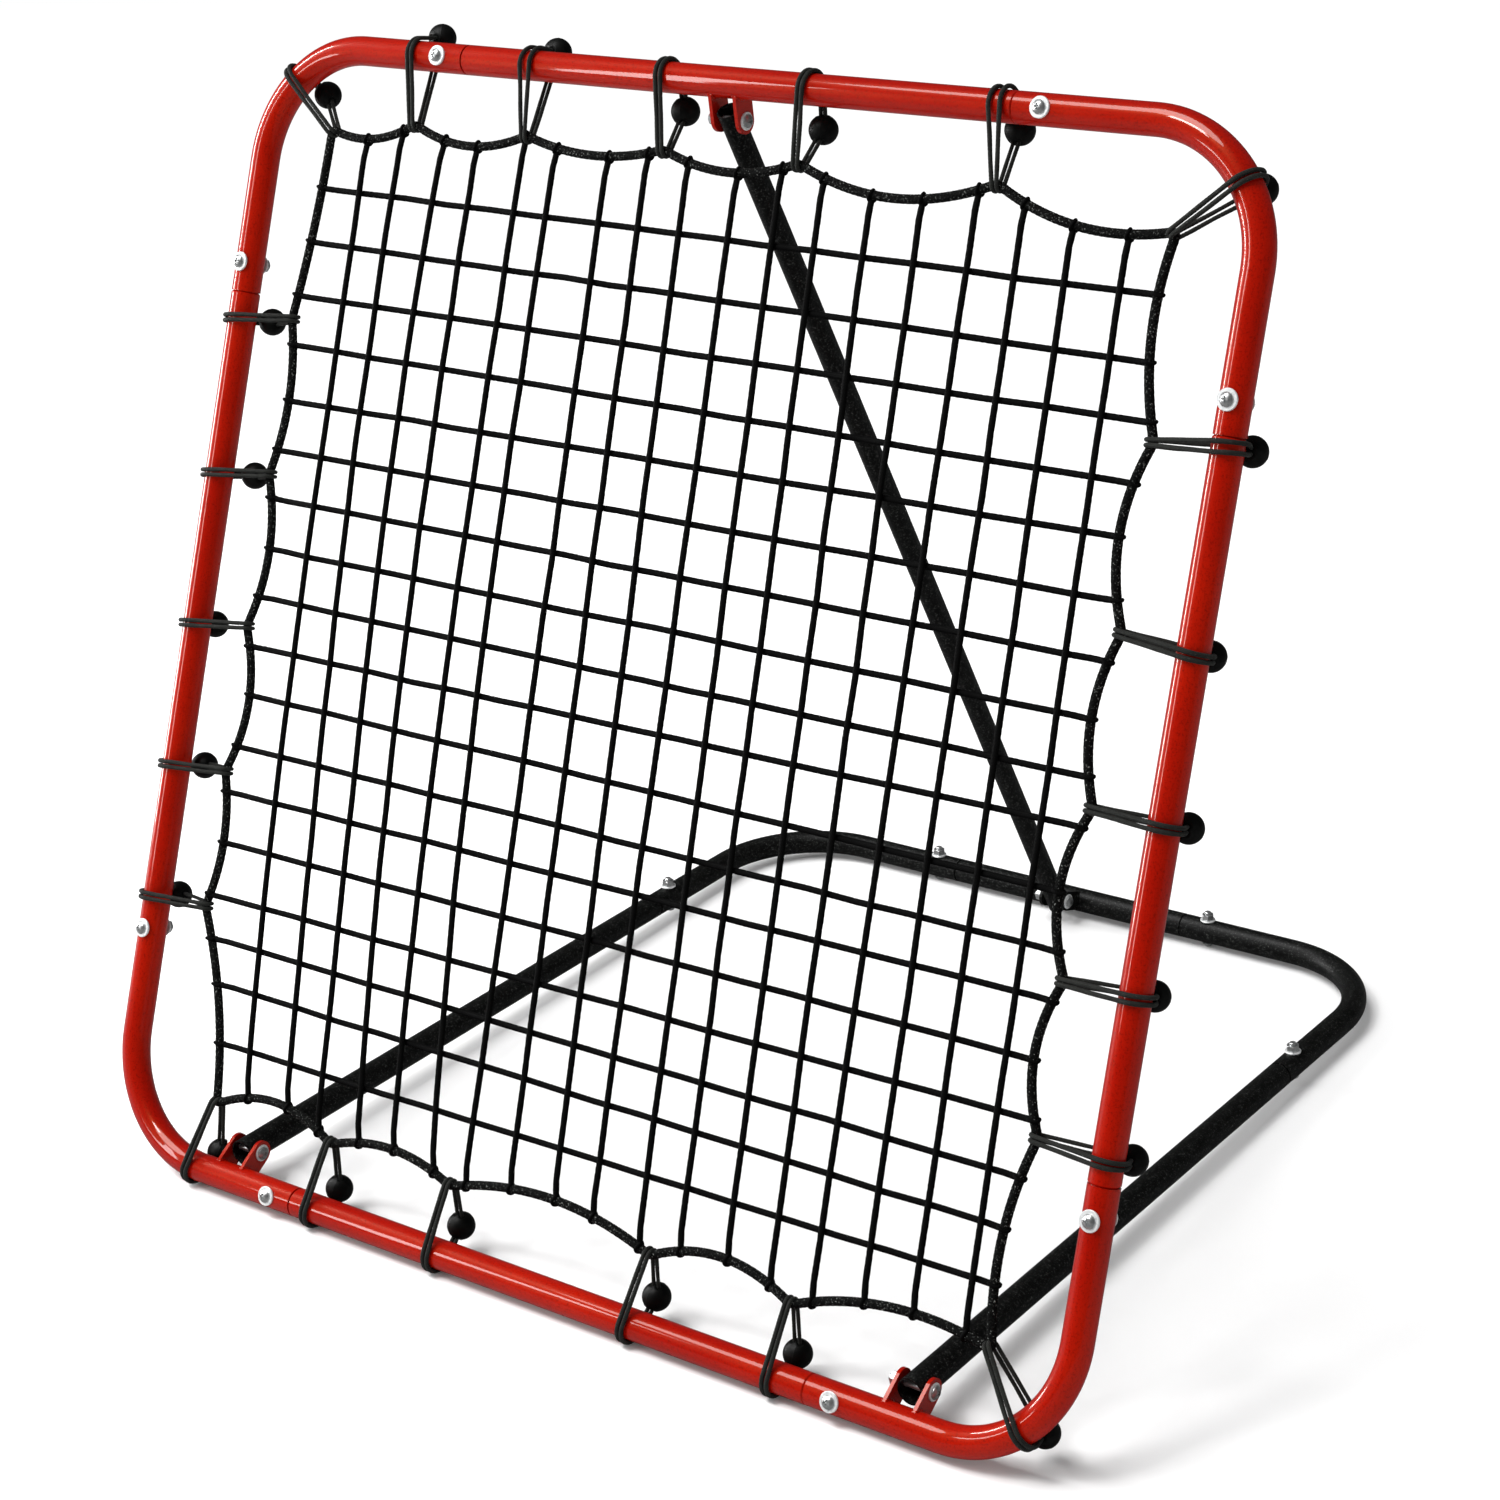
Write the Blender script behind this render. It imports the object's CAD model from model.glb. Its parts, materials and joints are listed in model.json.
"""The looks of a pitch back rebounder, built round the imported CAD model. Metres, +Z up."""

import json
import math

import bpy
import numpy as np
from mathutils import Matrix, Vector


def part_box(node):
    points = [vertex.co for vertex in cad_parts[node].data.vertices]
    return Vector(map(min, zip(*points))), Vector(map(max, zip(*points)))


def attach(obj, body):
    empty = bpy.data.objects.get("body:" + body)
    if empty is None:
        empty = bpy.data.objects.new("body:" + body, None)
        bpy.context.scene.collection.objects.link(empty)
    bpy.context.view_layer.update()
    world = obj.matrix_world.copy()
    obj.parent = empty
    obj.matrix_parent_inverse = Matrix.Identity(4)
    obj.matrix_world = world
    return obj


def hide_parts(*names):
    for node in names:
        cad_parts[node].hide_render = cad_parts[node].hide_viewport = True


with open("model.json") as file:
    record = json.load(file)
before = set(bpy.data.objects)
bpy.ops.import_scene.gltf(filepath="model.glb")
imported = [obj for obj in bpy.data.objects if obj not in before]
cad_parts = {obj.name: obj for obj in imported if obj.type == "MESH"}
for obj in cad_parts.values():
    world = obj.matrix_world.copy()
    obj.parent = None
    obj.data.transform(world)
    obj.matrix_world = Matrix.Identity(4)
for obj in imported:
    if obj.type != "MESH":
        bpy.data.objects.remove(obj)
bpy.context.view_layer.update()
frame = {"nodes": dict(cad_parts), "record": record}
nodes = frame["nodes"]
rng = np.random.default_rng(7)
MM = 0.001


# ------------------------------------------------------------------ the frame's plane
def middle(name):
    low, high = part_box(name)
    return np.array((low + high) / 2)


# u across, v up the slope from the bottom rail's centreline, n out of the front; millimetres
ORIGIN = middle("frame_rail_bottom") * (0, 1, 1)
UP = middle("frame_rail_top") * (0, 1, 1) - ORIGIN
TOP_RAIL = np.linalg.norm(UP) / MM
UP /= np.linalg.norm(UP)
ACROSS = np.array((1.0, 0, 0))
FRONT = np.cross(ACROSS, UP)
AXES = np.array((ACROSS, UP, FRONT))
HALF_WIDTH = middle("frame_rail_right")[0] / MM


def to_world(points):
    return ORIGIN + np.asarray(points, float) * MM @ AXES


# ------------------------------------------------------------------ sizes, as in the CAD model
RAIL_RADIUS = 12
BEND = 96                # of the corners, to the centreline
NET_CORD = 5
BORDER_CORD = 6.5
NET_HALF_WIDTH = 411
NET_TOP = 881
NET_BOTTOM = 55
UPRIGHT_HEIGHTS = (50, 330, 600, 890)
# Each upright cord's places across, at those heights, or at the first and last where it is straight
UPRIGHTS = [(-328.8, -348.5, -354, -356), (-283.2, -304.5, -317, -317.8), (-247.6, -264.8, -276, -271.5),
            (-202.5, -226.8, -236.8, -237), (-164.8, -182.8, -188.2, -188.7), (-121, -145.6, -154.6, -155.2),
            (-87.8, -103.2), (-42.6, -64.8), (2.7, -25.5), (40.7, 22.3), (87.7, 62.8), (125.9, 101.5),
            (169.7, 145.8), (210.1, 190.8), (248.4, 237.5), (292.6, 277.6), (335.1, 319.5), (379.9, 364.8)]
LEVEL_ENDS = (-400, 400)
# Each level cord's heights at those places across
LEVELS = [(105.6, 117.1), (153.5, 157.4), (189.5, 195.5), (225.3, 237.6), (270.8, 278.8), (313.2, 322.4),
          (352.5, 356.8), (397, 398.1), (436.9, 445.7), (478.9, 481), (520, 520.6), (562, 562),
          (601.9, 604.8), (643.9, 648.4), (690, 686.1), (731, 729.4), (776.3, 769.7), (821.1, 816.6)]
CORD_DEPTH = 2.2         # of the net cords' centres, uprights in front of the border's and levels behind it
TIE_CORD = 3.6
TIE_GAP = 0.5            # between the cord and the rail
TIE_END = 8              # where a strand stops, from the ball's centre
BORDER_WRAP = 5.4        # from the border's centre to the cord's, tight round it
CORNER_WRAP = 5.8        # the same at the net's corners
BALL = 23
BALL_BEHIND = 24
BASE_RADIUS = 11
EAR_WIDTH = 20
EAR_THICKNESS = 3

# Each tie: place on the border, place on the rail, ball inward of the rail, strands apart
TOP_TIES = [(-307, -312, -19, 4.2), (-188.5, -190, -15, 9.6), (-51, -57, 22, 4.6), (77, 77, 26, 4.4),
            (252, 247, 13, 9.6)]
RIGHT_TIES = [(716, 720, -6.5, 7.6), (583, 578, -1, 5.0), (460, 459, -6, 4.6), (338, 340, -2, 5.4),
              (226, 225, -6, 4.4)]
BOTTOM_TIES = [(230, 227, 14, 4.4), (98, 91, 19, 4.2), (-104, -107, 20, 4.6), (-234, -240, 15, 4.4)]
LEFT_TIES = [(215, 212, 1, 4.4), (330, 325, 9, 4.6), (453, 446, -3, 4.2), (581, 574, 18, 4.6),
             (711, 705, 12, 4.8)]
CORNER_TIES = {
    "top_left": ((-397, 870), 135, 12, 4.4),
    "top_right": ((402, 861), 37, 0, 4.8),
    "bottom_right": ((402, 72), -47, -7, 4.4),
    "bottom_left": ((-365, 56), -93, 10, 4.4),
}
# How far the border bows in between one tie and the next, clockwise from the top left corner
BORDER_BOWS = [10, 13, 10, 12, 18, 14, 11, 15, 13, 16, 14, 11, 14, 17, 17, 13, 18, 9, 10, 15, 13, 10, 3]

# ------------------------------------------------------------------ detail that the CAD model leaves out
NET_STEP, BORDER_STEP, TIE_STEP = 2.5, 1.1, 1.3     # from one ring of a tube to the next
NET_BRAID = (0.2, 8, 8.5)           # relief, strands round it, length of a turn
BORDER_BRAID = (0.4, 8, 10.0)
TIE_BRAID = (0.14, 8, 4.6)
LOOP_BRAID = (0.12, 6, 6.0)
BORDER_PILE = 0.3                   # the border's fibres, outside its nominal size
BORDER_ROUNDING = 3.2               # of its turns at the ties
NET_SPARE = 12                      # of a net cord's line past its places, before it is cut at the border
NET_EASE = 6                        # rings from the border's depth to the cord's own
NET_WAVER_ASIDE, NET_WAVER_DEPTH = (0.3, 18), (0.25, 22)    # size, rings to a swing
TIE_WAVER = (0.12, 14)
LOOP_RADIUS = 1.4                   # of the cord where it is pulled tight round the border
LOOP_LIFT = 0.8                     # of that cord's centre from the border's surface
LOOP_SLACK = 0.3                    # more on the outer side
LOOP_SKEW = 0.8
# At each tie's marks: ball, rail from and to, border from and to, ball
TIE_RADII = (1.55, 1.75, 1.8, 1.7, 1.6, 1.5)
RAIL_HOLES, BORDER_PINCH, BORDER_HOLES = 1.9, 1.95, 2.4     # half of the strands' spacing there
BALL_SHY = 0.12                     # of the balls inside their nominal size, for the ridge
SEAM_RIDGE, SEAM_REACH = 0.14, 0.022                # mm, radians
DIMPLE_DEPTH, DIMPLE_REACH = 1.6, 15                # mm, degrees
LIP_HEIGHT, LIP_AT, LIP_REACH = 0.25, 18, 3
BEAD_RADIUS, BEAD_RIPPLE, BEAD_JITTER = 1.15, 0.16, 0.05
BEAD_LIFT, BEAD_TAPER, BEAD_POINTS = 0.15, 0.55, 46     # centre off the tube, size at its ends


def tie_points():
    """Every tie as (side, border point, rail point, ball inward, strands apart), clockwise."""
    def corner(name):
        border, angle, *rest = CORNER_TIES[name]
        x = (HALF_WIDTH - BEND) * (1 if name.endswith("right") else -1)
        y = TOP_RAIL - BEND if name.startswith("top") else BEND
        turn = math.radians(angle)
        return [("corner", border, (x + BEND * math.cos(turn), y + BEND * math.sin(turn)), *rest)]

    top = [("top", (at, NET_TOP), (rail, TOP_RAIL), *rest) for at, rail, *rest in TOP_TIES]
    right = [("right", (NET_HALF_WIDTH, at), (HALF_WIDTH, rail), *rest) for at, rail, *rest in RIGHT_TIES]
    bottom = [("bottom", (at, NET_BOTTOM), (rail, 0), *rest) for at, rail, *rest in BOTTOM_TIES]
    left = [("left", (-NET_HALF_WIDTH, at), (-HALF_WIDTH, rail), *rest) for at, rail, *rest in LEFT_TIES]
    return (corner("top_left") + top + corner("top_right") + right
            + corner("bottom_right") + bottom + corner("bottom_left") + left)


# ------------------------------------------------------------------ node materials
class Look:
    """A material and short ways to add and join its nodes."""

    def __init__(self, name):
        self.material = bpy.data.materials.new(name)
        self.material.use_nodes = True
        self.tree = self.material.node_tree
        self.shader = self.tree.nodes["Principled BSDF"]

    def node(self, kind, inputs=(), **settings):
        made = self.tree.nodes.new("ShaderNode" + kind)
        for key, value in settings.items():
            setattr(made, key, value)
        for key, value in dict(inputs).items():
            self.put(value, made.inputs[key])
        return made

    def put(self, value, socket):
        if hasattr(value, "links"):
            self.tree.links.new(value, socket)
        else:
            socket.default_value = value

    def set(self, **values):
        for key, value in values.items():
            self.put(value, self.shader.inputs[key.replace("_", " ")])

    def math(self, operation, *values):
        made = self.node("Math", operation=operation)
        for i, value in enumerate(values):
            self.put(value, made.inputs[i])
        return made.outputs[0]

    def where(self):
        return self.node("TexCoord").outputs["Object"]

    def noise(self, scale, detail=2.0, rough=0.5):
        return self.node("TexNoise", {"Vector": self.where(), "Scale": scale, "Detail": detail,
                                      "Roughness": rough}).outputs[0]

    def ramp(self, factor, *stops):
        made = self.node("ValToRGB", {"Fac": factor})
        elements = made.color_ramp.elements
        while len(elements) < len(stops):
            elements.new(0.5)
        for element, (at, colour) in zip(elements, stops):
            element.position = at
            element.color = (*colour, 1) if isinstance(colour, tuple) else (colour, colour, colour, 1)
        return made.outputs[0]

    def span(self, factor, low, high):
        return self.node("MapRange", {"Value": factor, "To Min": low, "To Max": high}).outputs[0]

    def mix(self, factor, one, other):
        made = self.node("Mix", data_type="RGBA")
        for key, value in (("Factor", factor), ("A", one), ("B", other)):
            self.put((*value, 1) if isinstance(value, tuple) else value, made.inputs[key])
        return made.outputs["Result"]

    def bump(self, height, strength, distance):
        return self.node("Bump", {"Height": height, "Strength": strength, "Distance": distance}).outputs[0]


def red_paint():
    """Glossy red paint with dark specks, orange peel and a clear top layer."""
    look = Look("red_paint")
    colour = look.ramp(look.noise(9, 3), (0.3, (0.270, 0.0020, 0.0003)), (0.72, (0.345, 0.0056, 0.0004)))
    speck = look.ramp(look.noise(650, 3, 0.7), (0.50, 0.0), (0.70, 1.0))
    mixed = look.mix(look.math("MULTIPLY", speck, 0.9), colour, (0.14, 0.0010, 0.0003))
    peel = look.bump(look.noise(700, 2), 0.10, 0.0004)
    look.set(Base_Color=mixed, Roughness=look.span(look.noise(60, 4), 0.24, 0.36),
             Specular_IOR_Level=0.25, Specular_Tint=(1, 0.30, 0.08, 1),
             Coat_Weight=0.6, Coat_Roughness=0.04, Normal=peel)
    return look.material


def black_paint():
    """Satin black powder coat with a fine grain and grey flecks."""
    look = Look("black_paint")
    fleck = look.ramp(look.noise(620, 4, 0.75), (0.48, (0.0015, 0.0016, 0.0015)),
                      (0.57, (0.006, 0.0064, 0.006)), (0.70, (0.075, 0.078, 0.074)))
    grain = look.bump(look.noise(1100, 3, 0.6), 0.30, 0.0005)
    look.set(Base_Color=fleck, Roughness=look.span(look.noise(45, 3), 0.34, 0.46),
             Specular_IOR_Level=0.15, Normal=grain)
    return look.material


def zinc(name, shade, smooth, rough, metallic):
    """Zinc plating, clouded, between two roughnesses."""
    look = Look(name)
    colour = look.ramp(look.noise(420, 4, 0.6), (0.3, tuple(shade * c for c in (0.62, 0.65, 0.66))),
                       (0.7, (shade, shade, shade * 0.99)))
    look.set(Base_Color=colour, Metallic=metallic, Roughness=look.span(look.noise(900, 3), smooth, rough),
             Normal=look.bump(look.noise(1600, 2), 0.15, 0.0002))
    return look.material


def braided(name, dark, light, stretch, roughness, sheen, relief, flecks):
    """Braided cord. The cord's UVs run once round it, and as many times along it as it is round."""
    look = Look(name)
    strands = 8

    def times(one, other):
        return look.math("MULTIPLY", one, other)

    parts = look.node("SeparateXYZ", {"Vector": look.node("UVMap", uv_map="cord").outputs[0]})
    round_it, along = times(parts.outputs["X"], strands * 1.0), times(parts.outputs["Y"], strands * stretch)
    one = look.math("SINE", times(look.math("ADD", round_it, along), math.pi))
    other = look.math("SINE", times(look.math("SUBTRACT", round_it, along), math.pi))
    over = look.math("GREATER_THAN", times(one, other), 0.0)
    height = look.math("ADD", times(look.math("ABSOLUTE", one), over),
                       times(look.math("ABSOLUTE", other), look.math("SUBTRACT", 1.0, over)))
    fluff = look.math("ADD", height, times(look.noise(2400, 2), 0.5))
    shade = look.ramp(times(look.math("ADD", height, look.noise(160, 2)), 0.6), (0.25, dark), (0.9, light))
    fleck = look.ramp(look.noise(620, 2, 0.7), (0.60, 0.0), (0.70, 1.0))
    mixed = look.mix(times(fleck, times(height, flecks)), shade, (0.22, 0.23, 0.215))
    look.set(Base_Color=mixed, Roughness=roughness, Specular_IOR_Level=0.05, Sheen_Weight=sheen,
             Sheen_Roughness=0.5, Normal=look.bump(fluff, relief, 0.0006))
    return look.material


def ball_plastic():
    """Hard black plastic, slightly cloudy."""
    look = Look("ball_plastic")
    colour = look.ramp(look.noise(140, 3), (0.35, (0.002, 0.0022, 0.002)), (0.7, (0.005, 0.0054, 0.005)))
    look.set(Base_Color=colour, Roughness=look.span(look.noise(300, 4), 0.38, 0.52), Specular_IOR_Level=0.12,
             Normal=look.bump(look.noise(1300, 3), 0.2, 0.0003))
    return look.material


looks = {
    "red_paint": red_paint(),
    "black_paint": black_paint(),
    "zinc": zinc("zinc", shade=0.74, smooth=0.22, rough=0.40, metallic=0.9),
    "washer_zinc": zinc("washer_zinc", shade=0.88, smooth=0.30, rough=0.45, metallic=0.4),
    "net_cord": braided("net_cord", (0.0006, 0.0006, 0.0006), (0.0022, 0.0022, 0.0022),
                        stretch=0.8, roughness=0.75, sheen=0.0, relief=0.35, flecks=0.0),
    "border_cord": braided("border_cord", (0.0006, 0.0006, 0.0006), (0.0035, 0.0037, 0.0035),
                           stretch=0.9, roughness=0.8, sheen=0.0, relief=0.6, flecks=0.9),
    "elastic_cord": braided("elastic_cord", (0.004, 0.0042, 0.0038), (0.019, 0.020, 0.018),
                            stretch=0.8, roughness=0.55, sheen=0.03, relief=0.4, flecks=0.12),
    "ball_plastic": ball_plastic(),
}
slots = {row["node"]: row["material_slot"] for row in frame["record"]["subparts"]}
for name, thing in nodes.items():
    thing.data.materials.clear()
    thing.data.materials.append(looks[slots[name]])


# ------------------------------------------------------------------ mesh building
class Mesh:
    """Gathers tubes and other grids of points into one mesh, in frame millimetres."""

    def __init__(self):
        self.points, self.faces, self.uvs, self.count = [], [], [], 0

    def grid(self, rows, closed=False, v_per_row=None):
        """Joins rows of points, (rows, columns, 3), each a ring; closed joins the last to the first."""
        many, sides = rows.shape[:2]
        first = self.count
        self.points.append(rows.reshape(-1, 3))
        self.count += many * sides
        i = np.arange(many if closed else many - 1)[:, None]
        j = np.arange(sides)[None, :]
        after, beside = (i + 1) % many, (j + 1) % sides
        quads = np.stack([first + i * sides + j, first + i * sides + beside,
                          first + after * sides + beside, first + after * sides + j], -1)
        self.faces.append(quads.reshape(-1, 4))
        v = np.arange(many + 1) / 10 if v_per_row is None else v_per_row
        u0, u1 = j / sides + 0 * i, (j + 1) / sides + 0 * i
        v0, v1 = v[i] + 0 * j, v[i + 1] + 0 * j
        self.uvs.append(np.stack([u0, v0, u1, v0, u1, v1, u0, v1], -1).reshape(-1, 4, 2))

    def tube(self, line, radius, sides, braid=None, closed=False, start=(0, 0, 1)):
        """A tube along a line. radius is one number or one a point; braid is (relief, strands, pitch)."""
        line = np.asarray(line, float)
        many = len(line)
        step = np.roll(line, -1, 0) - line
        if not closed:
            step[-1] = step[-2]
        ahead = step / np.linalg.norm(step, axis=1)[:, None]
        tangent = ahead + (np.roll(ahead, 1, 0) if closed else np.vstack([ahead[:1], ahead[:-1]]))
        tangent /= np.linalg.norm(tangent, axis=1)[:, None]
        side = np.empty_like(line)
        turn = np.asarray(start, float)
        for k in range(many):
            turn = turn - tangent[k] * (turn @ tangent[k])
            turn /= np.linalg.norm(turn)
            side[k] = turn
        other = np.cross(tangent, side)
        length = np.concatenate([[0], np.cumsum(np.linalg.norm(step, axis=1))])
        size = np.broadcast_to(np.asarray(radius, float), many)
        angle = np.arange(sides) / sides * 2 * math.pi
        spread = size[:, None] + np.zeros(sides)
        if braid:
            relief, strands, pitch = braid
            along = length[:many, None] / pitch * math.pi * 2
            one = np.sin(angle * strands / 2 + along)
            two = np.sin(angle * strands / 2 - along)
            over = one * two > 0
            spread = spread + relief * (np.where(over, np.abs(one), np.abs(two)) - 0.7)
        rows = (line[:, None] + side[:, None] * (np.cos(angle) * spread)[..., None]
                + other[:, None] * (np.sin(angle) * spread)[..., None])
        v = length / (2 * math.pi * float(np.mean(size)))
        if not closed:
            rows, v = self.rounded(rows, line, tangent, size, v)
        self.grid(rows, closed, v)

    @staticmethod
    def rounded(rows, line, tangent, size, v):
        """A tube's rows and their lengths, with a small dome added at both ends."""
        def dome(at, way):
            out = []
            for turn in (25, 50, 72, 89):
                a = math.radians(turn)
                ring = line[at] + (rows[at] - line[at]) * math.cos(a)
                out.append(ring + way * tangent[at] * size[at] * math.sin(a) * 0.8)
            return out

        before = dome(0, -1)[::-1]
        after = dome(-1, 1)
        v = np.concatenate([v[:1] - np.arange(len(before), 0, -1) * 0.03, v,
                            v[-1:] + np.arange(1, len(after) + 1) * 0.03])
        return np.concatenate([before, rows, after]), v

    def finish(self, name, body, slot, *replaced):
        mesh = bpy.data.meshes.new(name)
        faces = np.concatenate(self.faces)
        mesh.from_pydata(to_world(np.concatenate(self.points)).tolist(), [], faces.tolist())
        layer = mesh.uv_layers.new(name="cord")
        layer.data.foreach_set("uv", np.concatenate(self.uvs).astype(np.float32).ravel())
        mesh.polygons.foreach_set("use_smooth", np.ones(len(faces), bool))
        mesh.materials.append(looks[slot])
        mesh.update()
        piece = bpy.data.objects.new(name, mesh)
        bpy.context.scene.collection.objects.link(piece)
        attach(piece, body)
        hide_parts(*replaced)
        return piece


def resample(line, step, closed=False):
    """Points a step apart along a line, and how far along it each one is."""
    line = np.asarray(line, float)
    if closed:
        line = np.vstack([line, line[:1]])
    length = np.concatenate([[0], np.cumsum(np.linalg.norm(np.diff(line, axis=0), axis=1))])
    many = max(2, int(round(length[-1] / step)))
    at = np.linspace(0, length[-1], many, endpoint=not closed)
    return np.stack([np.interp(at, length, column) for column in line.T], 1), at


# ------------------------------------------------------------------ the net
def border_loop():
    """The border's centreline in u and v, a closed line of points a millimetre apart."""
    corners = [np.array(border, float) for side, border, *rest in tie_points()]
    centre = np.array((0, TOP_RAIL / 2))
    line = []
    for i, bow in enumerate(BORDER_BOWS):
        start, end = corners[i], corners[(i + 1) % len(corners)]
        square = np.array((end[1] - start[1], start[0] - end[0]))
        square = square / np.linalg.norm(square)
        if square @ (centre - (start + end) / 2) < 0:
            square = -square
        share = np.linspace(0, 1, 60, endpoint=False)[:, None]
        line.append(start + (end - start) * share + square * bow * 4 * share * (1 - share))
    line = resample(np.vstack(line), 1.0, closed=True)[0]
    kernel = np.exp(-0.5 * (np.arange(-9, 10) / BORDER_ROUNDING) ** 2)
    kernel /= kernel.sum()
    padded = np.vstack([line[-9:], line, line[:9]])
    return np.stack([np.convolve(padded[:, k], kernel, "valid") for k in (0, 1)], 1)


BORDER_LOOP = border_loop()


def inside(points):
    """Which points are inside the border, by the crossings of a line to the right of each."""
    x, y = BORDER_LOOP.T
    x_next, y_next = np.roll(x, -1), np.roll(y, -1)
    across, up = points[:, :1], points[:, 1:]
    level = (y > up) != (y_next > up)
    with np.errstate(divide="ignore", invalid="ignore"):
        meet = x + (up - y) / (y_next - y) * (x_next - x)
    return (level & (across < meet)).sum(1) % 2 == 1


def wavering(many, size, reach):
    """A smooth random waver, with about one swing per reach points."""
    knots = rng.normal(0, size, many // reach + 3)
    return np.interp(np.arange(many) / reach, np.arange(len(knots)), knots)


def cord_line(across, up):
    """A smooth line through a cord's two or four places, with its ends carried on a little."""
    at = np.linspace(up[0] - NET_SPARE, up[-1] + NET_SPARE, 1200)
    fit = np.polyfit(up, across, len(up) - 1)
    return np.column_stack([np.polyval(fit, at), at])


def net_cord(mesh, path, depth):
    """One net cord, cut where it meets the border, where it is looped round the border."""
    path = path[inside(path)]
    near, far = path[0], path[-1]
    ways = [step / np.linalg.norm(step) for step in (path[1] - near, far - path[-2])]
    line = resample(path, NET_STEP)[0]
    many = len(line)
    aside = np.array((-ways[0][1], ways[0][0]))
    ease = np.minimum(1, np.minimum(np.arange(many), np.arange(many)[::-1]) / NET_EASE)
    line = line + aside * (wavering(many, *NET_WAVER_ASIDE) * ease)[:, None]
    height = depth * ease + wavering(many, *NET_WAVER_DEPTH) * ease
    mesh.tube(np.column_stack([line, height]), NET_CORD / 2, 12, NET_BRAID)
    for point, out in ((near, -ways[0]), (far, ways[1])):
        k = np.argmin(np.linalg.norm(BORDER_LOOP - point, axis=1))
        along = BORDER_LOOP[(k + 3) % len(BORDER_LOOP)] - BORDER_LOOP[k - 3]
        along /= np.linalg.norm(along)
        across = out - along * (out @ along) * 0.6
        across /= np.linalg.norm(across)
        lift = BORDER_CORD / 2 + LOOP_LIFT
        loop = []
        for turn in np.linspace(0, 2 * math.pi, 30, endpoint=False):
            outward = lift + LOOP_SLACK * max(0, math.cos(turn)) ** 2
            skew = along * LOOP_SKEW * math.sin(2 * turn)
            loop.append((*(point + across * math.cos(turn) * outward + skew), math.sin(turn) * lift))
        mesh.tube(loop, LOOP_RADIUS, 10, LOOP_BRAID, closed=True, start=(0.3, 0.2, 1))


def net():
    uprights, levels = Mesh(), Mesh()
    for places in UPRIGHTS:
        heights = UPRIGHT_HEIGHTS if len(places) > 2 else (UPRIGHT_HEIGHTS[0], UPRIGHT_HEIGHTS[-1])
        net_cord(uprights, cord_line(places, heights), CORD_DEPTH)
    for heights in LEVELS:
        net_cord(levels, cord_line(heights, LEVEL_ENDS)[:, ::-1], -CORD_DEPTH)
    uprights.finish("net_uprights", "front_frame", "net_cord", "net_cords_upright")
    levels.finish("net_levels", "front_frame", "net_cord", "net_cords_level")
    border = Mesh()
    line = resample(BORDER_LOOP, BORDER_STEP, closed=True)[0]
    border.tube(np.column_stack([line, np.zeros(len(line))]), BORDER_CORD / 2 + BORDER_PILE, 24,
                BORDER_BRAID, closed=True)
    border.finish("net_border", "front_frame", "border_cord", "net_border_cord")


net()


# ------------------------------------------------------------------ the ties and their balls
def strand_line(run, ball, wrap):
    """One strand in its own plane, rail at the origin, border at (run, 0), Y to the back.
    Gives its points and the lengths at which it leaves and reaches rail, border and ball."""
    turn = RAIL_RADIUS + TIE_GAP + TIE_CORD / 2
    leave = math.atan2(ball[1], ball[0]) + math.acos(turn / math.hypot(*ball))
    front = -math.acos((turn - wrap) / run)
    back = math.atan2(ball[1], ball[0] - run) - math.acos(wrap / math.hypot(ball[0] - run, ball[1]))

    def arc(centre, radius, first, last, many):
        a = np.linspace(first, last, many)
        return np.column_stack([centre + radius * np.cos(a), radius * np.sin(a)])

    round_rail = arc(0, turn, leave, 2 * math.pi + front, 30)
    round_border = arc(run, wrap, front, back, 20)
    centre = np.array(ball, float)

    def from_ball(point):
        way = point - centre
        return centre + way / np.linalg.norm(way) * TIE_END

    line = np.vstack([from_ball(round_rail[0]), round_rail, round_border, from_ball(round_border[-1])])
    length = np.concatenate([[0], np.cumsum(np.linalg.norm(np.diff(line, axis=0), axis=1))])
    marks = [length[0], length[1], length[30], length[31], length[50], length[51]]
    return line, marks, centre, [from_ball(round_rail[0]) - centre, from_ball(round_border[-1]) - centre]


def ball_mesh(mesh, centre, holes, seam):
    """A hard plastic ball: a fine moulding ridge round it, and a dimple where each cord goes in."""
    pole = np.asarray(seam, float)
    pole /= np.linalg.norm(pole)
    east = np.cross(pole, (0.31, 0.52, 0.8))
    east /= np.linalg.norm(east)
    north = np.cross(pole, east)
    tilt = np.concatenate([np.linspace(1, 86, 26), [87.8, 89, 90, 91, 92.2], np.linspace(94, 179, 26)])
    tilt = np.radians(tilt)[:, None]
    spin = np.linspace(0, 2 * math.pi, 56, endpoint=False)[None, :]
    way = (np.cos(tilt)[..., None] * pole + (np.sin(tilt) * np.cos(spin))[..., None] * east
           + (np.sin(tilt) * np.sin(spin))[..., None] * north)
    ridge = SEAM_RIDGE * np.exp(-((tilt - math.pi / 2) / SEAM_REACH) ** 2)
    radius = BALL / 2 - BALL_SHY + ridge + 0 * spin
    for hole in holes:
        hole = hole / np.linalg.norm(hole)
        off = np.degrees(np.arccos(np.clip(way @ hole, -1, 1)))
        dimple = DIMPLE_DEPTH * np.clip(1 - off / DIMPLE_REACH, 0, 1) ** 0.6
        radius = radius - dimple + LIP_HEIGHT * np.exp(-((off - LIP_AT) / LIP_REACH) ** 2)
    mesh.grid(centre + way * radius[..., None], v_per_row=np.arange(len(tilt) + 1) / 60)


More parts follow.
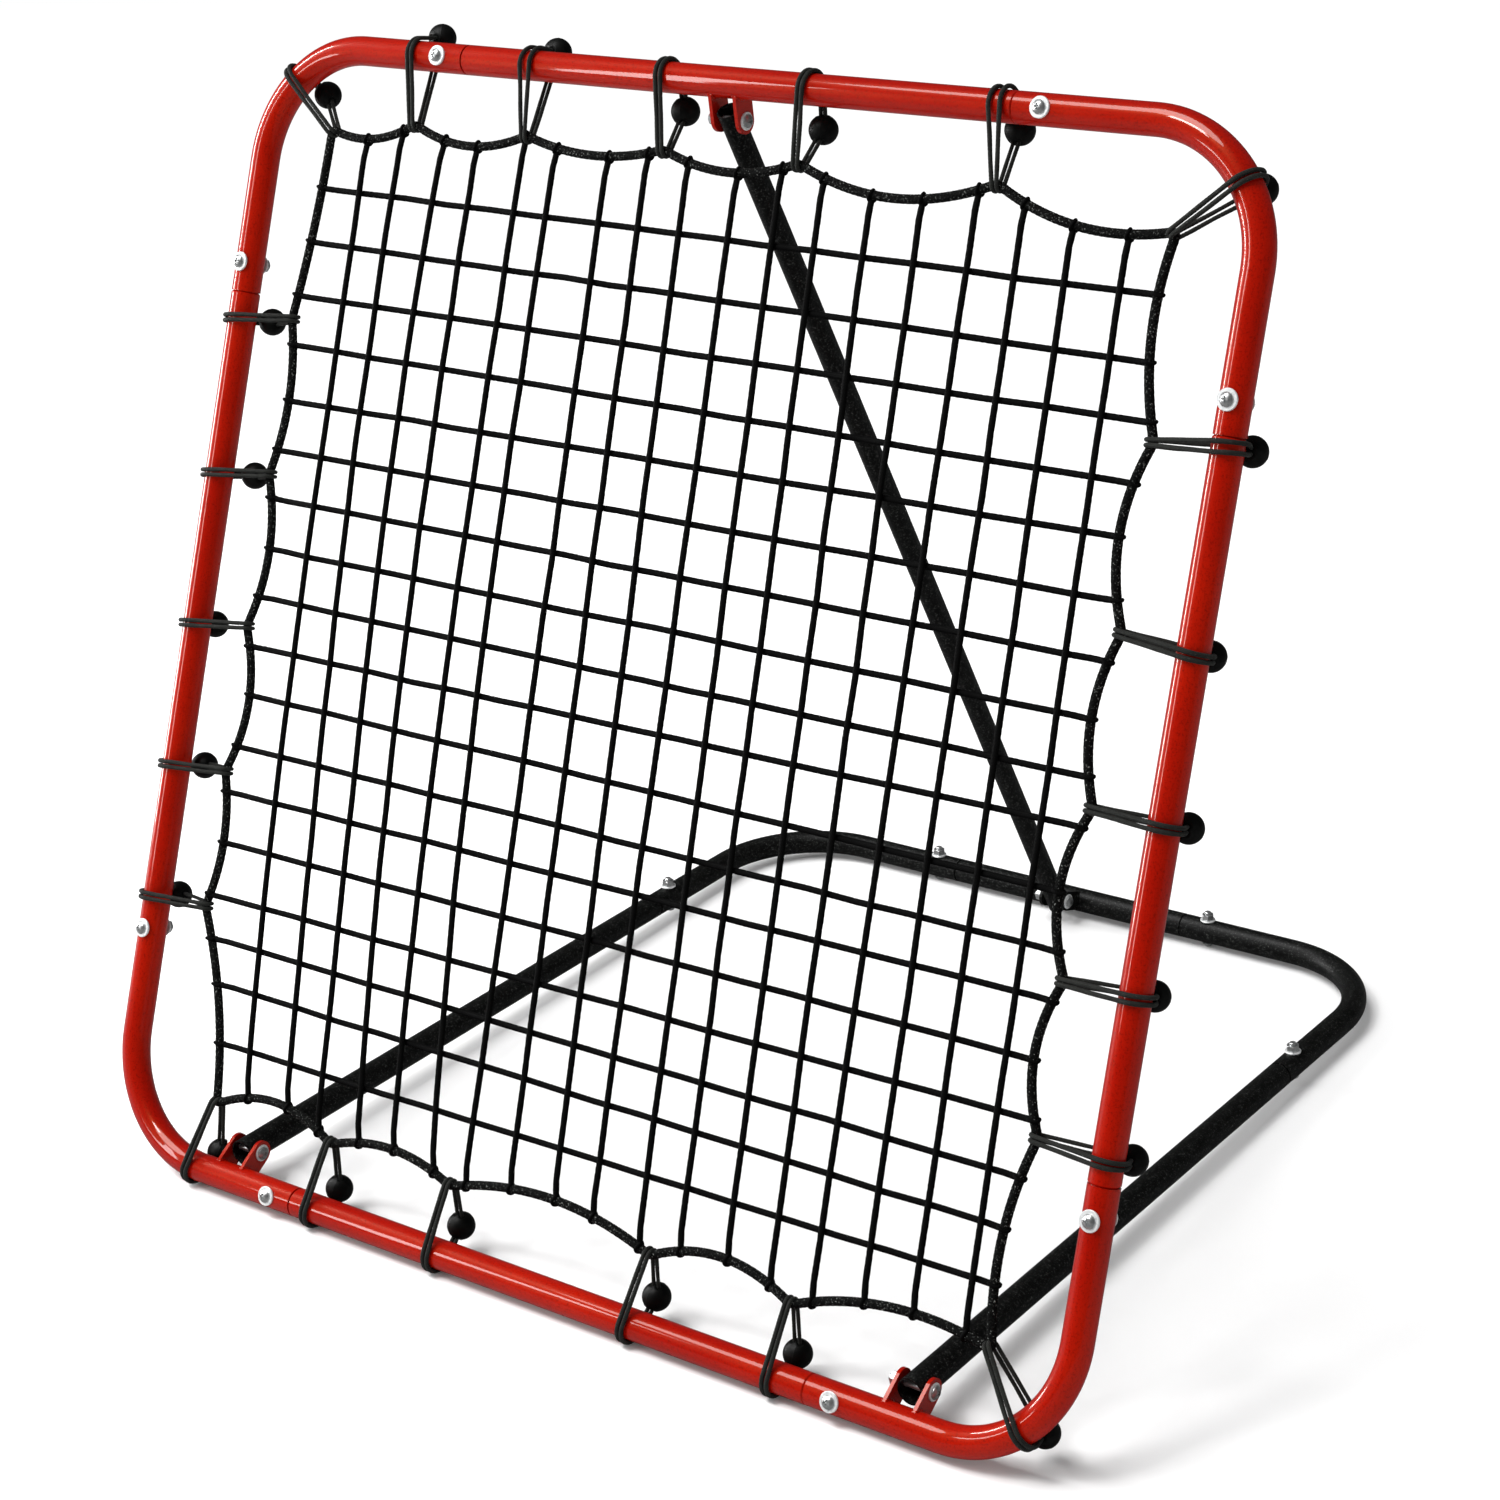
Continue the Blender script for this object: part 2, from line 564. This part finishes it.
def ties():
    cords = {side: Mesh() for side in ("top", "right", "bottom", "left", "corner")}
    balls = {side: Mesh() for side in cords}
    for side, border, rail, ball_in, apart in tie_points():
        border, rail = np.array(border, float), np.array(rail, float)
        run = np.linalg.norm(border - rail)
        inward = (border - rail) / run
        along = np.array((-inward[1], inward[0]))
        wrap = CORNER_WRAP if side == "corner" else BORDER_WRAP
        line, marks, centre, holes = strand_line(run, (ball_in, BALL_BEHIND), wrap)
        fine, at = resample(line, TIE_STEP)

        def lift(points, sideways):
            """From the tie's plane, and so far along the rail, to the frame's u, v and n."""
            flat = rail + np.outer(points[:, 0], inward) + np.outer(sideways, along)
            return np.column_stack([flat, -points[:, 1]])

        for way in (-1, 1):
            wide = apart / 2
            apart_at = (RAIL_HOLES, wide * 0.9, wide, BORDER_PINCH, BORDER_PINCH, BORDER_HOLES)
            spread = np.interp(at, marks, apart_at)
            size = np.interp(at, marks, TIE_RADII)
            size = size * (1 + 0.03 * np.sin(at / 5 + way))
            lean = wavering(len(at), *TIE_WAVER)
            cords[side].tube(lift(fine, way * spread + lean), size, 14, TIE_BRAID, start=(*along, 0.2))
        middle_of_ball = lift(centre[None], np.zeros(1))[0]
        dimples = []
        for hole, reach in zip(holes, (RAIL_HOLES, BORDER_HOLES)):
            for way in (-1, 1):
                dimples.append(lift((centre + hole)[None], np.array([way * reach]))[0] - middle_of_ball)
        ball_mesh(balls[side], middle_of_ball, dimples, (*(along * 0.9), 0.5 * rng.normal()))
    for side in cords:
        cords[side].finish(f"elastic_ties_{side}", "front_frame", "elastic_cord", f"tie_cords_{side}")
        balls[side].finish(f"plastic_balls_{side}", "front_frame", "ball_plastic", f"tie_balls_{side}")


ties()


# ------------------------------------------------------------------ weld beads at the ears
def weld_beads(name, body, slot, ears, tube_centre, tube_radius, toward, width):
    """Rippled beads along both faces of each ear, where it meets its tube. World metres."""
    mesh = Mesh()
    toward = np.asarray(toward, float)
    toward /= np.linalg.norm(toward)
    square = np.cross(ACROSS, toward)
    half = math.asin(min(0.98, width / 2 / tube_radius))
    for x_near, x_far in ears:
        for x in (x_near, x_far):
            turn = np.linspace(-half, half, BEAD_POINTS)[:, None]
            out = (np.cos(turn) * toward + np.sin(turn) * square) * (tube_radius + BEAD_LIFT) * MM
            line = tube_centre * (0, 1, 1) + ACROSS * x + out
            ripple = BEAD_RADIUS + BEAD_RIPPLE * np.sin(np.arange(BEAD_POINTS) * 1.15)
            ripple += rng.normal(0, BEAD_JITTER, BEAD_POINTS)
            ripple[[0, -1]] *= BEAD_TAPER
            local = (line - ORIGIN) / MM @ AXES.T
            mesh.tube(local, ripple, 10, start=(1, 0.1, 0))
    return mesh.finish(name, body, slot)


def ear_faces(*names):
    """The x places of each ear's two faces, from the boxes of nodes that hold a pair of ears."""
    faces = []
    for name in names:
        low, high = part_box(name)
        faces += [(low.x, low.x + EAR_THICKNESS * MM), (high.x - EAR_THICKNESS * MM, high.x)]
    return faces


def pivot_of(name):
    """A pivot's place, from the box of its screws."""
    low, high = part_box(name)
    return np.array((0, (low.y + high.y) / 2, (low.z + high.z) / 2))


top_centre = middle("frame_rail_top") * (0, 1, 1)
bar_centre = middle("base_crossbar") * (0, 1, 1)
weld_beads("hinge_ear_welds", "front_frame", "red_paint",
           ear_faces("hinge_ears_left", "hinge_ears_right"),
           ORIGIN, RAIL_RADIUS, pivot_of("hinge_screws") - ORIGIN, EAR_WIDTH - 1)
weld_beads("strut_ear_welds", "front_frame", "red_paint", ear_faces("strut_ears_top"),
           top_centre, RAIL_RADIUS, pivot_of("strut_top_screws") - top_centre, EAR_WIDTH - 1)
weld_beads("foot_ear_welds", "base", "black_paint", ear_faces("strut_ears_foot"),
           bar_centre, BASE_RADIUS, pivot_of("strut_foot_screws") - bar_centre, EAR_WIDTH - 3)


# ------------------------------------------------------------------ floor, light and camera
LAMP_AIM = (0, 0, 0.45)
# Each lamp: place, width, power, and height where it isn't square
LAMPS = {
    "strip": ((-2.9, -0.6, 1.2), 0.19, 90, 2.6),
    "front": ((-1.9, -2.3, 1.4), 0.25, 18, 1.6),
    "high": ((-0.6, -1.6, 3.0), 0.5, 26, None),
}
SUN_POWER, SUN_SPREAD, SUN_WAY = 2.5, 35, (0.34, 0.3, -1)
ROOM_LIGHT, ROOM_REFLECTED, FLOOR_REFLECTED = 0.46, 0.04, 0.10
# Fitted to the photo with the object's own straight tubes and right angles
CAMERA_PLACE = (1.509282, -1.960257, 1.392210)
CAMERA_ANGLES = (-0.654345, 0.380255, -0.0723196)   # turn, down and roll, in radians
CAMERA_LENS = 78.361
CAMERA_SHIFT = (-0.036849, -0.062257)


def floor():
    """A pale floor, darker in reflections so that it doesn't grey the paint."""
    bpy.ops.mesh.primitive_plane_add(size=30, location=(0, 0, -0.0005))
    made = bpy.context.object
    made.name = "floor"
    look = Look("floor")
    pale = look.ramp(look.noise(0.6, 1), (0.3, 0.86), (0.7, 0.88))
    tone = look.mix(look.node("LightPath").outputs["Is Glossy Ray"], pale, (FLOOR_REFLECTED,) * 3)
    look.set(Base_Color=tone, Roughness=0.9)
    made.data.materials.append(look.material)


def add_light(name, data, way, at=(0, 0, 0)):
    made = bpy.data.objects.new(name, data)
    made.location = at
    made.rotation_mode = "QUATERNION"
    made.rotation_quaternion = Vector(way).to_track_quat("-Z", "Y")
    bpy.context.scene.collection.objects.link(made)


def studio():
    """A white room, dimmer as a light and dimmest in reflections, with a soft sun and three lamps."""
    world = bpy.data.worlds.new("studio")
    bpy.context.scene.world = world
    world.use_nodes = True
    tree = world.node_tree
    background = tree.nodes["Background"]
    background.inputs["Color"].default_value = (1, 1, 1, 1)
    path = tree.nodes.new("ShaderNodeLightPath")
    dim = tree.nodes.new("ShaderNodeMapRange")
    dim.inputs["To Min"].default_value = ROOM_LIGHT
    dim.inputs["To Max"].default_value = ROOM_REFLECTED
    tree.links.new(path.outputs["Is Glossy Ray"], dim.inputs["Value"])
    seen = tree.nodes.new("ShaderNodeMath")
    seen.operation = "MAXIMUM"
    tree.links.new(dim.outputs[0], seen.inputs[0])
    tree.links.new(path.outputs["Is Camera Ray"], seen.inputs[1])
    tree.links.new(seen.outputs[0], background.inputs["Strength"])
    sun = bpy.data.lights.new("overhead", "SUN")
    sun.energy = SUN_POWER
    sun.angle = math.radians(SUN_SPREAD)
    add_light("overhead", sun, SUN_WAY)
    for name, (at, width, power, height) in LAMPS.items():
        lamp = bpy.data.lights.new(name, "AREA")
        lamp.energy = power
        lamp.size = width
        if height:
            lamp.shape = "RECTANGLE"
            lamp.size_y = height
        add_light(name, lamp, Vector(LAMP_AIM) - Vector(at), at)
    bpy.context.scene.view_settings.view_transform = "Standard"


def camera():
    turn, down, roll = CAMERA_ANGLES
    ahead = Vector((math.cos(down) * math.sin(turn), math.cos(down) * math.cos(turn), -math.sin(down)))
    level = Vector((math.cos(turn), -math.sin(turn), 0))
    above = level.cross(ahead)
    right = level * math.cos(roll) + above * math.sin(roll)
    up = above * math.cos(roll) - level * math.sin(roll)
    data = bpy.data.cameras.new("camera")
    data.sensor_width = 36
    data.lens = CAMERA_LENS
    data.shift_x, data.shift_y = CAMERA_SHIFT
    data.clip_end = 60
    made = bpy.data.objects.new("camera", data)
    facing = Matrix((right, up, -ahead)).transposed().to_4x4()
    made.matrix_world = Matrix.Translation(CAMERA_PLACE) @ facing
    bpy.context.scene.collection.objects.link(made)
    bpy.context.scene.camera = made


floor()
studio()
camera()
